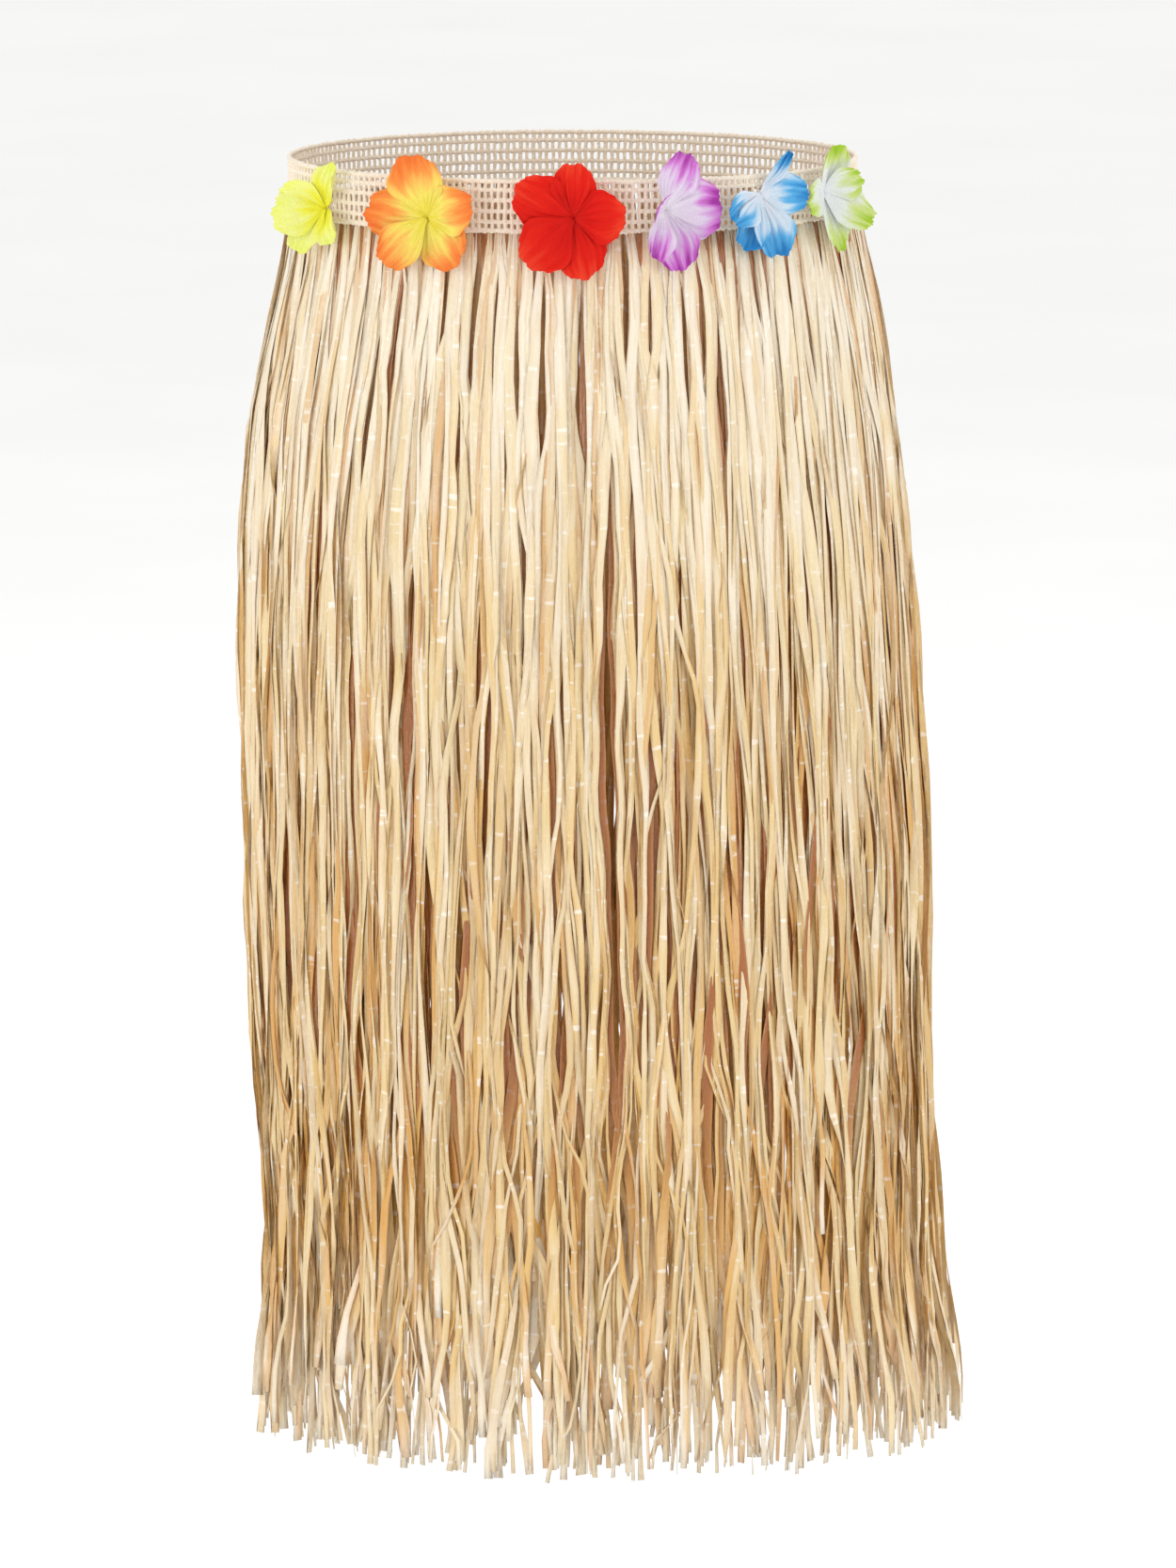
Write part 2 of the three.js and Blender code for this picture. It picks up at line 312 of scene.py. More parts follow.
band = {
    "wales": 232,  # upright ribs round the band, about 4 mm apart
    "waleHalfWidth": 1.32 * mm,
    "waleHalfDepth": 0.95 * mm,
    "courses": [15.0, 9.9, 3.6, -3.0, -9.3, -14.8],  # heights of the level cords in mm
    "courseHalfHeights": [1.6, 1.5, 1.5, 1.5, 1.5, 1.8],
    "courseHalfDepths": [1.3, 1.0, 1.0, 1.0, 1.0, 1.4],
    "knitDepth": 1.5 * mm,  # from the band's outer face to the middle of the knit
    "sway": 0.25 * mm,  # how far a rib wanders sideways
    "swayLength": 2.1 * mm,  # a sixth of one wave of it
    "knot": 1.4 * mm,  # how near a level cord the ribs grow stouter
    "sides": 6,
    "stepsPerWale": 3,
    "waleRings": 24,
}


def tubeFaces(rings, sides, start, loop):
    faces = []
    last = rings if loop else rings - 1
    for ring in range(last):
        here = start + ring * sides
        there = start + ((ring + 1) % rings) * sides
        for side in range(sides):
            after = (side + 1) % sides
            faces.append((here + side, here + after, there + after, there + side))
    if not loop:
        faces.append(tuple(start + side for side in reversed(range(sides))))
        faces.append(tuple(start + (rings - 1) * sides + side for side in range(sides)))
    return faces


def buildWaistband(material):
    angles, girth = evenAngles(band["wales"])
    turn = 2 * np.pi * np.arange(band["sides"]) / band["sides"]
    points = []
    faces = []
    # upright ribs, a little stouter where they cross the level cords
    waleZ = np.linspace(-0.46, 0.46, band["waleRings"]) * bandHeight
    courseZ = np.array(band["courses"]) * mm
    nearest = np.min(np.abs(waleZ[:, None] - courseZ[None, :]), axis=1)
    swell = 0.82 + 0.3 * np.exp(-((nearest / band["knot"]) ** 2))
    for angle in angles:
        x, y, outX, outY = bandPoint(angle, band["knitDepth"])
        thick = band["waleHalfDepth"] * rng.uniform(0.9, 1.15)
        wide = band["waleHalfWidth"] * rng.uniform(0.85, 1.2) * swell
        sway = band["sway"] * np.sin(waleZ / band["swayLength"] + rng.uniform(0, 6.28))
        start = len(points)
        for z, halfWide, aside in zip(waleZ, wide, sway):
            for a in turn:
                sideways = halfWide * math.cos(a) + aside
                outwards = thick * math.sin(a)
                points.append((x - outY * sideways + outX * outwards,
                               y + outX * sideways + outY * outwards, z))
        faces += tubeFaces(band["waleRings"], band["sides"], start, False)
    # level cords, knotted where they pass a rib
    count = band["wales"] * band["stepsPerWale"]
    cordAngles, _ = evenAngles(count)
    step = np.arange(count)
    knot = np.cos(2 * np.pi * step / band["stepsPerWale"])
    sizes = zip(courseZ, band["courseHalfHeights"], band["courseHalfDepths"])
    for height, halfHeight, halfDepth in sizes:
        start = len(points)
        rough = 1 + 0.1 * rng.standard_normal(count)
        rise = 0.15 * mm * rng.standard_normal(count)
        x, y, outX, outY = bandPoint(cordAngles, band["knitDepth"])
        for i in step:
            up = halfHeight * mm * (1 + 0.16 * knot[i]) * rough[i]
            out = halfDepth * mm * (1 + 0.2 * knot[i])
            for a in turn:
                outwards = out * math.cos(a)
                points.append((x[i] + outX[i] * outwards, y[i] + outY[i] * outwards,
                               height + rise[i] + up * math.sin(a)))
        faces += tubeFaces(count, band["sides"], start, True)
    piece = newMesh("waistbandKnit", points, faces, material)
    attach(piece, "root")
    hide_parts("waistband")
    print("waistband", len(faces), "faces, girth", round(girth, 4))


grass = {
    "tufts": 108,  # places where ribbons leave the band, about 9 mm apart
    "layers": [
        # ribbons: in each tuft. depth: how deep they lie under the outer surface, in mm.
        # tone: 0 dark to 1 pale, at random in each layer's range; the inner layers' darker ranges are
        # painted shade. gather: how strongly they draw into locks. twist: how much they turn over.
        # wide and narrow: their width in mm under the band, and from half-way down, where they have folded.
        # short: how much shorter they are, in mm. fan: how far apart a tuft's ribbons leave the band.
        # innermost: whether they close the fringe on the inside. The last value: their share of the painted
        # shade colour.
        {"ribbons": 4, "depth": (-1.0, 0.6), "tone": (0.4, 1.0), "gather": 1.0, "twist": 1.0,
         "wide": (2.4, 8.0), "narrow": (1.7, 5.4), "short": 0, "fan": 0.3, "innermost": False,
         "deep": 0.0},
        {"ribbons": 4, "depth": (0.4, 1.9), "tone": (0.0, 0.75), "gather": 0.9, "twist": 1.0,
         "wide": (2.8, 7.6), "narrow": (2.0, 5.8), "short": 6, "fan": 0.35, "innermost": False,
         "deep": 0.13},
        {"ribbons": 3, "depth": (2.2, 3.8), "tone": (0.0, 0.4), "gather": 0.2, "twist": 0.3,
         "wide": (4.5, 6.5), "narrow": (4.2, 6.4), "short": 42, "fan": 0.8, "innermost": True,
         "deep": 0.95},
    ],
    "rings": 44,  # sections along each ribbon
    "meanRadius": 0.19,  # of the whole fringe, to turn sideways places into angles
    "thick": 0.34 * mm,
    "knittedIn": 1.5 * mm,  # how far a ribbon's top reaches up and into the band
    "ragged": 13 * mm,  # usual difference between the ends
    "strays": 0.1,  # share of ribbons that wander across their neighbours
    "cutShort": (0.05, 20, 120),  # share of ribbons that are shorter still, and by how many mm
    # sideways waves: lengths as a share of the ribbon, and sizes; of every ribbon, of their lower part,
    # and of the strays
    "sway": ((0.9, 0.5, 0.24, 0.11), (3.0 * mm, 1.6 * mm, 0.6 * mm, 0.22 * mm)),
    "lowSway": ((0.55, 0.3), (2.6 * mm, 1.2 * mm)),
    "straySway": ((0.9, 0.5), (13 * mm, 6 * mm)),
    # the same out of the fringe's surface, and in the ribbon's width as a share of it
    "swing": ((0.5, 0.25, 0.12), (1.0 * mm, 0.7 * mm, 0.35 * mm)),
    "widthChange": ((0.25, 0.13, 0.06), (0.19, 0.17, 0.08)),
    # the same for how far a ribbon turns about its own length, in degrees
    "turning": ((0.7, 0.3, 0.13), (24, 18, 9)),
    "mostAside": 26 * mm,  # no ribbon strays sideways or outwards by more
    "mostOut": 8 * mm,
    "tipSplay": 13 * mm,  # how far the tips turn sideways, and outwards
    "tipSwing": 4 * mm,
    "flare": (0.3, 3, 16),  # share of ribbons whose tips stand away at the sides, and by how many mm
    "rightCloser": 6 * mm,
    "turnedOver": 0.4,  # share of ribbons that turn right over somewhere
    "lockWaves": 16,
    "lockAcross": (11, 45),  # mm
    "lockStretch": (9, 22),  # how many times longer than wide
    # how the tips bunch: locks round the hem, lean, sideways size and phase
    "tipLocks": [(27, 3.0, 5.6 * mm, 0.4), (41, -4.0, 3.8 * mm, 2.0), (64, 2.0, 2.2 * mm, 4.1),
                 (17, -2.0, 4.6 * mm, 1.3)],
    "partingReach": 0.06,  # ribbons that run farther than this from a parting take no notice of it
    # where the ribbons part: degrees from the front, height of the top and bottom in m, width in mm, and
    # how far the innermost ribbons open with them
    "partings": [
        (9.0, -0.07, -0.67, 8.5, 0.6),
        (-39.0, -0.19, -0.38, 6.5, 0.2),
        (-44.0, -0.03, -0.13, 5.0, 0.6),
        (-25.0, -0.01, -0.13, 5.5, 1.0),
        (-14.5, -0.03, -0.15, 4.0, 1.0),
        (-6.5, -0.02, -0.17, 4.5, 1.0),
        (-32.0, -0.01, -0.10, 4.0, 1.0),
        (-10.5, -0.18, -0.30, 3.5, 0.4),
        (-20.0, -0.26, -0.42, 3.5, 0.2),
        (13.0, -0.55, -0.68, 9.0, 0.4),
        (43.0, -0.45, -0.60, 5.0, 0.1),
        (-9.0, -0.62, -0.72, 6.0, 0.5),
        (14.0, -0.01, -0.10, 4.0, 1.0),
        (28.0, -0.02, -0.14, 4.5, 0.8),
        (38.0, -0.04, -0.17, 4.0, 0.6),
        (24.0, -0.30, -0.44, 3.0, 0.2),
        (33.0, -0.52, -0.66, 4.5, 0.2),
        (-3.0, -0.42, -0.56, 4.0, 0.2),
        (2.5, -0.56, -0.70, 5.0, 0.4),
        (-14.0, -0.46, -0.60, 4.5, 0.2),
        (18.0, -0.34, -0.49, 4.0, 0.2),
        (-5.5, -0.29, -0.40, 3.5, 0.2),
        (1.5, -0.02, -0.16, 3.5, 0.8),
        (21.0, -0.59, -0.71, 5.0, 0.4),
        (-28.0, -0.50, -0.63, 4.0, 0.2),
        (-37.0, -0.55, -0.69, 4.5, 0.2),
        (-19.0, -0.02, -0.12, 3.5, 0.8),
        (20.0, -0.02, -0.11, 3.5, 0.8),
        (33.0, -0.03, -0.12, 3.5, 0.8),
        (-49.0, -0.05, -0.20, 4.0, 0.4),
        (118.0, -0.15, -0.42, 5.0, 0.2),
        (92.0, -0.30, -0.52, 4.0, 0.1),
        (150.0, -0.02, -0.12, 4.0, 0.6),
        (163.0, -0.20, -0.62, 5.5, 0.2),
        (196.0, -0.04, -0.13, 3.5, 0.6),
        (-140.0, -0.12, -0.35, 5.0, 0.2),
        (-112.0, -0.03, -0.12, 4.5, 0.5),
        (-88.0, -0.34, -0.60, 4.0, 0.1),
    ],
}
hankNames = sorted(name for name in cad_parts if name.startswith("grass_"))
hankBoxes = [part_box(name) for name in hankNames]
fringeTop = max(high.z for low, high in hankBoxes)
fringeBottom = min(low.z for low, high in hankBoxes)
fringeLength = fringeTop - fringeBottom


def wallTable():
    # the outer surface of the hanks' solids, as a radius for each height and angle
    trees = []
    for name in hankNames:
        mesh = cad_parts[name].data
        trees.append(BVHTree.FromPolygons([v.co for v in mesh.vertices],
                                          [tuple(p.vertices) for p in mesh.polygons]))
    heights = np.linspace(fringeTop - 0.5 * mm, fringeBottom + 38 * mm, 48)  # above the ragged edge
    angles = np.linspace(0, 2 * np.pi, 360, endpoint=False)
    table = np.zeros((len(heights), len(angles)))
    for row, z in enumerate(heights):
        for column, angle in enumerate(angles):
            for nudge in (0.0, 0.004, -0.004, 0.008):  # past the gaps between the hanks
                way = Vector((math.sin(angle + nudge), -math.cos(angle + nudge), 0))
                start = Vector((0, 0, z)) + way * 0.5
                reached = [tree.ray_cast(start, -way, 0.45)[3] for tree in trees]
                reached = [distance for distance in reached if distance is not None]
                if reached:
                    table[row, column] = 0.5 - min(reached)
                    break
    return heights, angles, table


def sampleWall(wall, angle, height):
    heights, angles, table = wall
    rowPlace = np.clip((heights[0] - height) / (heights[0] - heights[-1]), 0, 1) * (len(heights) - 1)
    row = np.minimum(rowPlace.astype(int), len(heights) - 2)
    rowShare = rowPlace - row
    columnPlace = (angle % (2 * np.pi)) / (2 * np.pi) * len(angles)
    column = columnPlace.astype(int) % len(angles)
    after = (column + 1) % len(angles)
    columnShare = columnPlace - np.floor(columnPlace)
    upper = table[row, column] * (1 - columnShare) + table[row, after] * columnShare
    lower = table[row + 1, column] * (1 - columnShare) + table[row + 1, after] * columnShare
    radius = upper * (1 - rowShare) + lower * rowShare
    return np.stack([radius * np.sin(angle), -radius * np.cos(angle), height], axis=-1)


def waves(count, kind, share):
    # a sum of sines for each ribbon, each with a length and a size of its own near the given ones
    total = np.zeros((count, share.shape[-1]))
    for length, size in zip(*grass[kind]):
        period = length * rng.uniform(0.75, 1.3, (count, 1))
        phase = rng.uniform(0, 2 * np.pi, (count, 1))
        strength = size * rng.uniform(0.5, 1.4, (count, 1))
        total += strength * np.sin(2 * np.pi * share / period + phase)
    return total


def lockField(count, gather):
    # waves over the fringe that push neighbouring ribbons together, with lens-shaped gaps between
    field = []
    across, stretch = np.log(grass["lockAcross"]), np.log(grass["lockStretch"])
    for _ in range(count):
        acrossLength = math.exp(rng.uniform(*across)) * mm
        upLength = math.exp(rng.uniform(*stretch)) * acrossLength
        size = gather * 0.25 * acrossLength / (2 * math.pi)
        lean = rng.choice([-1, 1]) * 2 * math.pi / upLength
        turns = round(2 * math.pi * grass["meanRadius"] / acrossLength)
        field.append((turns, lean, size, rng.uniform(0, 6.28)))
    return field


def gatherIntoLocks(angle, height, field):
    total = np.zeros_like(angle)
    for turns, lean, size, phase in field:
        total += size * np.sin(turns * angle + lean * height + phase)
    return total


def partRibbons(angle, aside, height, width, radius, innermost):
    # ribbons near a parting keep to their own side of it, edges and all: usual is the side that a
    # ribbon mostly runs on, and cleared how far from the parting it ends up
    for degrees, high, low, gap, innerShare in grass["partings"]:
        opening = innerShare if innermost else 1.0
        swell = 0.22 * np.sin(height / (31 * mm)) + 0.18 * np.sin(height / (11 * mm) + degrees)
        wide = gap * mm * (0.95 + swell)
        soft = 0.3 * (high - low)
        inside = smoothStep(low, low + soft, height) * (1 - smoothStep(high - soft, high, height))
        drift = 3 * mm * np.sin(height / (70 * mm) + degrees)
        turned = (angle - math.radians(degrees) + np.pi) % (2 * np.pi) - np.pi
        away = turned * radius + aside - drift
        weight = np.maximum(np.sum(inside, axis=1, keepdims=True), 1e-6)
        usual = np.sum(away * inside, axis=1, keepdims=True) / weight
        way = np.where(usual >= 0, 1.0, -1.0)
        reach = way * away
        kept = 0.5 * wide + 0.42 * width
        cleared = kept + 0.5 * (reach - kept + np.sqrt((reach - kept) ** 2 + (0.5 * wide) ** 2))
        near = np.exp(-np.maximum(reach, 0) / (4 * wide)) * (np.abs(usual) < grass["partingReach"])
        near = near * (np.abs(away) < 2 * grass["partingReach"])
        aside = aside + way * (cleared - reach) * near * inside * opening
    return aside


def buildRibbons(layer, wall, tuftAngles):
    # the rings of every ribbon of one layer, with what the material reads
    each = layer["ribbons"]
    count = each * len(tuftAngles)
    rings = grass["rings"]
    share = np.linspace(0, 1, rings)[None, :]
    pitch = 2 * np.pi / len(tuftAngles)
    tuft = np.repeat(tuftAngles, each)
    fan = (np.tile(np.arange(each), len(tuftAngles)) + 0.5) / each - 0.5
    own = tuft + pitch * (fan + rng.uniform(-1.3, 1.3, count) / each)
    ragged = np.abs(rng.standard_normal(count)) * grass["ragged"]
    shortShare, *shortBy = grass["cutShort"]
    ragged += (rng.random(count) < shortShare) * rng.uniform(*shortBy, count) * mm + layer["short"] * mm
    top = bandLow.z + grass["knittedIn"]
    length = (top - fringeBottom) - ragged
    height = top - share * length[:, None]
    slip = np.repeat(rng.uniform(-0.22, 0.22, len(tuftAngles)), each)
    gathered = tuft[:, None] + pitch * (slip + layer["fan"] * fan)[:, None]
    spread = smoothStep(0.0, rng.uniform(0.07, 0.33, (count, 1)), share)
    angle = gathered * (1 - spread) + own[:, None] * spread
    # sideways places, in metres along the fringe's surface
    stray = rng.random((count, 1)) < grass["strays"]
    loose = (0.3 + 0.7 * smoothStep(0.1, 0.6, share)) * smoothStep(0.0, 0.06, share)
    low = smoothStep(0.45, 0.95, share)
    aside = waves(count, "sway", share) * loose
    aside += waves(count, "lowSway", share) * low
    aside += stray * waves(count, "straySway", share) * smoothStep(0.08, 0.4, share)
    aside += rng.normal(0, 0.07, (count, 1)) * np.maximum(share - 0.66, 0) * length[:, None]
    aside += rng.normal(0, grass["tipSplay"], (count, 1)) * smoothStep(0.87, 1.0, share) ** 1.5
    tipLocks = gatherIntoLocks(angle, height, grass["tipLocks"]) * smoothStep(0.7, 1.0, share)
    field = lockField(grass["lockWaves"], layer["gather"])
    nudge = gatherIntoLocks(angle + aside / grass["meanRadius"], height, field)
    aside += nudge * smoothStep(0.0, 0.12, share) * (0.8 + 0.45 * low)
    aside += tipLocks
    aside = grass["mostAside"] * np.tanh(aside / grass["mostAside"])
    # widths, then the partings, which need them
    wide = rng.uniform(*layer["wide"], (count, 1)) * mm
    narrow = rng.uniform(*layer["narrow"], (count, 1)) * mm
    width = wide + (narrow - wide) * smoothStep(0.12, 0.6, share)
    width *= 0.5 + 0.5 * smoothStep(0.0, 0.06, share)
    width *= 1 + waves(count, "widthChange", share)
    base = sampleWall(wall, angle, height)
    radius = np.linalg.norm(base[..., :2], axis=-1)
    aside = partRibbons(angle, aside, height, width, radius, layer["innermost"])
    # places out of the fringe's surface
    depth = rng.uniform(*layer["depth"], (count, 1)) * mm
    swing = waves(count, "swing", share)
    out = -depth * smoothStep(0.0, 0.1, share) + swing * loose
    out -= grass["knittedIn"] * (1 - smoothStep(0.0, 0.03, share))
    out += rng.normal(0, grass["tipSwing"], (count, 1)) * smoothStep(0.8, 1.0, share) ** 2
    out = np.minimum(out, grass["mostOut"])
    # the fringe hangs a little closer on the wearer's right, and at the sides some tips stand away,
    # mostly on the wearer's left
    out -= grass["rightCloser"] * (np.maximum(-np.sin(own), 0) ** 2)[:, None] * smoothStep(0.55, 0.9, share)
    atSide = np.where(np.sin(own) > 0, 1.0, 0.2)[:, None] * np.abs(np.sin(own))[:, None] ** 6
    flareShare, *flareBy = grass["flare"]
    loosens = rng.random((count, 1)) < flareShare
    loosens = loosens * (ragged[:, None] < 30 * mm) * (not layer["innermost"])
    flare = loosens * rng.uniform(*flareBy, (count, 1)) * mm
    out += flare * atSide * smoothStep(0.8, 1.0, share) ** 1.4
    # the path of each ribbon, and the way its width lies
    tangent = sampleWall(wall, angle + 0.03, height) - sampleWall(wall, angle - 0.03, height)
    tangent /= np.linalg.norm(tangent, axis=-1, keepdims=True)
    outward = np.cross(tangent, np.array([0.0, 0.0, 1.0]))
    outward /= np.linalg.norm(outward, axis=-1, keepdims=True)
    path = base + tangent * aside[..., None] + outward * out[..., None]
    run = np.gradient(path, axis=1)
    run /= np.linalg.norm(run, axis=-1, keepdims=True)
    turnOver = np.radians(rng.normal(0, 12, (count, 1)))
    turnOver = turnOver + np.radians(waves(count, "turning", share)) * loose
    flips = rng.random((count, 1)) < grass["turnedOver"] * (layer["twist"] == 1)
    flips = flips * rng.choice([-1, 1], (count, 1)) * np.pi
    flipAt = rng.uniform(0.12, 0.9, (count, 1))
    turnOver = turnOver + flips * smoothStep(flipAt - 0.05, flipAt + 0.05, share + 0 * flipAt)
    turnOver = turnOver * layer["twist"] * (1 + 0.5 * np.sin(own)[:, None] ** 4)
    side = tangent * np.cos(turnOver)[..., None] + outward * np.sin(turnOver)[..., None]
    side -= run * np.sum(side * run, axis=-1, keepdims=True)
    side /= np.linalg.norm(side, axis=-1, keepdims=True)
    face = np.cross(run, side)
    thick = grass["thick"] * (1 + 0.25 * rng.standard_normal((count, 1))).clip(0.5, 1.6)
    # a section creased lengthways: how far sideways from -1 to 1, and how proud of the middle
    crease = rng.uniform(0.0, 1.05, (count, 1))
    section = [(-1.0, 0.0), (-0.52, 0.68), (0.05, crease), (0.52, 0.72), (1.0, 0.06), (0.1, -0.4)]
    lean = rng.uniform(-0.25, 0.25, (count, 1))
    points = np.zeros((count, rings, len(section), 3))
    for k, (sideways, proud) in enumerate(section):
        shifted = sideways + lean * (1 - sideways ** 2)
        raised = thick * proud * np.ones_like(share)
        points[:, :, k] = path + side * (0.5 * width * shifted)[..., None] + face * raised[..., None]
    # each ribbon's tone is random within its layer's range; the darker ranges of the inner layers are
    # painted shade
    tone = rng.uniform(*layer["tone"], count)
    deep = np.full(count, layer["deep"])
    return {"points": points, "angle": own, "tone": tone, "width": width, "length": length, "deep": deep}


def buildHank(name, number, ribbons, material):
    points = ribbons["points"]
    count, rings, sides, _ = points.shape
    faces = []
    for i in range(count):
        faces += tubeFaces(rings, sides, i * rings * sides, False)
    along = np.broadcast_to(np.linspace(0, 1, rings)[None, :, None], (count, rings, sides))
    across = np.broadcast_to(np.arange(sides)[None, None, :] / sides, (count, rings, sides))
    tone = np.broadcast_to(ribbons["tone"][:, None, None], (count, rings, sides))
    # the painted shade is on the side that faces out, and fades towards the tips; the ribbons' two edges
    # carry a little painted shade too
    fade = 1 - smoothStep(0.7, 0.92, np.linspace(0, 1, rings))
    deepAlong = ribbons["deep"][:, None] * fade[None, :]
    onFront = np.array([0.6, 1.0, 1.0, 1.0, 0.6, 0.0])[None, None, :]
    shadeShare = np.array([0.16, 0.0, 0.0, 0.0, 0.16, 0.0])[None, None, :] + deepAlong[:, :, None] * onFront
    shadeShare = np.broadcast_to(shadeShare, (count, rings, sides))
    piece = newMesh("raffiaHank%02d" % number, points.reshape(-1, 3).tolist(), faces, material, {
        "along": along.ravel(), "across": across.ravel(), "tone": tone.ravel(), "shadeShare": shadeShare.ravel()})
    mesh = piece.data
    # the ribbon's two edges stay crisp
    pairs = np.zeros(len(mesh.edges) * 2, np.int32)
    mesh.edges.foreach_get("vertices", pairs)
    pairs = pairs.reshape(-1, 2) % sides
    crisp = (pairs[:, 0] == pairs[:, 1]) & ((pairs[:, 0] == 0) | (pairs[:, 0] == 4))
    layer = mesh.attributes.new("sharp_edge", "BOOLEAN", "EDGE")
    layer.data.foreach_set("value", crisp)
    # one upright strip of the map for each ribbon
    corners = np.zeros(len(mesh.loops), np.int32)
    mesh.loops.foreach_get("vertex_index", corners)
    ribbon = corners // (rings * sides)
    ring = (corners // sides) % rings
    sidePlace = corners % sides
    starts = np.repeat([p.loop_start for p in mesh.polygons], [p.loop_total for p in mesh.polygons])
    wraps = (corners[starts] % sides == sides - 1) & (sidePlace == 0)
    sidePlace = np.where(wraps, sides, sidePlace)
    mapAcross = (ribbon + 0.06 + 0.88 * sidePlace / sides) / count
    mapUp = 0.002 + 0.996 * ring / (rings - 1)
    mapPlace = np.stack([mapAcross, mapUp], 1)
    uvLayer = mesh.uv_layers.new(name="OFBake")
    uvLayer.data.foreach_set("uv", mapPlace.astype(np.float32).ravel())
    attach(piece, "root")
    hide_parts(name)
    laidWidth = float(ribbons["width"].mean(axis=1).sum())
    return laidWidth


def buildFringe(material):
    wall = wallTable()
    tuftAngles, _ = evenAngles(grass["tufts"])
    tuftPlaces = bandPoint(tuftAngles, 0)
    tuftAngles = np.unwrap(np.arctan2(tuftPlaces[0], -tuftPlaces[1]))
    made = [buildRibbons(layer, wall, tuftAngles) for layer in grass["layers"]]
    whole = {key: np.concatenate([ribbons[key] for ribbons in made]) for key in made[0]}
    centres = []
    for low, high in hankBoxes:
        middle = (low + high) / 2
        centres.append(math.atan2(middle.x, -middle.y))
    apart = (whole["angle"][:, None] - np.array(centres)[None, :] + np.pi) % (2 * np.pi) - np.pi
    owner = np.argmin(np.abs(apart), axis=1)
    laid = 0
    for number, name in enumerate(hankNames):
        chosen = owner == number
        laid += buildHank(name, number + 1, {key: whole[key][chosen] for key in whole}, material)
    print("fringe", len(owner), "ribbons, laid width", round(laid, 3))


petalRng = np.random.default_rng(21)
petalShape = {
    "rows": 26,
    "columns": 45,
    "pleats": 7,
    "pleatDepth": 0.5 * mm,
    "cloth": 0.3 * mm,  # how thick it is
    "scallops": (0.014, 0.018, 0.009),  # three waves in the edge, as shares of the petal's reach
    "ruffles": (1.5 * mm, 0.9 * mm),  # a long and a short wave out of its plane
    "overlap": 0.5 * mm,  # each petal lies this far over the last
    "areaShare": 0.82,  # of a petal's reach times its width
}
flowers = {
    # around: degrees on the oval from the front. height: above the band's middle, in mm.
    # each petal: direction in degrees; reach, lift and width in mm; fold from 0 to 1; tilt in degrees
    "yellow": {
        "around": -58, "height": -8,
        "dye": [(0.0, "#E8E02A"), (0.3, "#F2F052"), (0.7, "#F2F59A"), (1.0, "#EEF57C")],
        "petals": [
            (-43, 25, 9, 22, 0.3, 0), (61, 33, 6, 20, 0.5, 20), (135, 20, 20, 26, 0.1, 0),
            (190, 19, 25, 30, 0.0, 0), (253, 28, 12, 22, 0.3, -20)]},
    "orange": {
        "around": -30, "height": -8,
        "dye": [(0.0, "#E8D640"), (0.3, "#F4E46C"), (0.55, "#F7C260"), (0.75, "#F89848"), (1.0, "#F07C36")],
        "petals": [
            (-47, 36, 10, 34, 0.0, 0), (18, 35, 8, 32, 0.1, 0), (97, 39, 8, 36, 0.2, 8),
            (173, 36, 7, 32, 0.0, 0), (232, 35, 11, 30, 0.25, 0)]},
    "red": {
        "around": 0, "height": -6,
        "dye": [(0.0, "#C40A02"), (0.4, "#D81206"), (0.75, "#E01E0C"), (1.0, "#EA3C22")],
        "petals": [
            (-77, 36, 11, 33, 0.0, 0), (5, 32, 8, 34, 0.1, 0), (88, 34, 8, 28, 0.0, 0),
            (150, 39, 8, 34, 0.0, 0), (223, 38, 11, 36, 0.0, 0)]},
    "purple": {
        "around": 18.5, "height": -2,
        "dye": [(0.0, "#E9E2EA"), (0.5, "#E6D6EC"), (0.78, "#D884D8"), (1.0, "#A93BA6")],
        "petals": [
            (-77, 36, 9, 30, 0.2, 0), (3, 34, 5, 38, 0.0, 0), (72, 37, 6, 28, 0.2, 10),
            (150, 12, 27, 24, 0.3, 0), (250, 29, 16, 22, 0.5, 30)]},
    "blue": {
        "around": 40, "height": 5,
        "dye": [(0.0, "#E4E8F0"), (0.45, "#D2E4F2"), (0.7, "#5FB4E6"), (1.0, "#2C86C6")],
        "petals": [
            (-84, 38, 12, 32, 0.35, 0), (-1, 26, 12, 26, 0.1, 0), (62, 30, 10, 14, 0.6, 0),
            (205, 30, 9, 24, 0.3, 20), (238, 36, 10, 26, 0.2, 0)]},
    "green": {
        "around": 59.5, "height": 2,
        "dye": [(0.0, "#E6E8EE"), (0.5, "#E8ECE6"), (0.75, "#CFE08A"), (1.0, "#A8CC3A")],
        "petals": [
            (-90, 35, 12, 26, 0.3, 0), (-42, 28, 21, 26, 0.1, 0), (35, 16, 17, 26, 0.2, 0),
            (95, 29, 10, 26, 0.2, 0), (187, 25, 6, 24, 0.1, 0)]},
}
petalNames = {
    "yellow": "lemonPetalCloth", "orange": "dippedOrangePetalCloth", "red": "redPetalCloth",
    "purple": "dippedPurplePetalCloth", "blue": "dippedBluePetalCloth", "green": "dippedLimePetalCloth"}


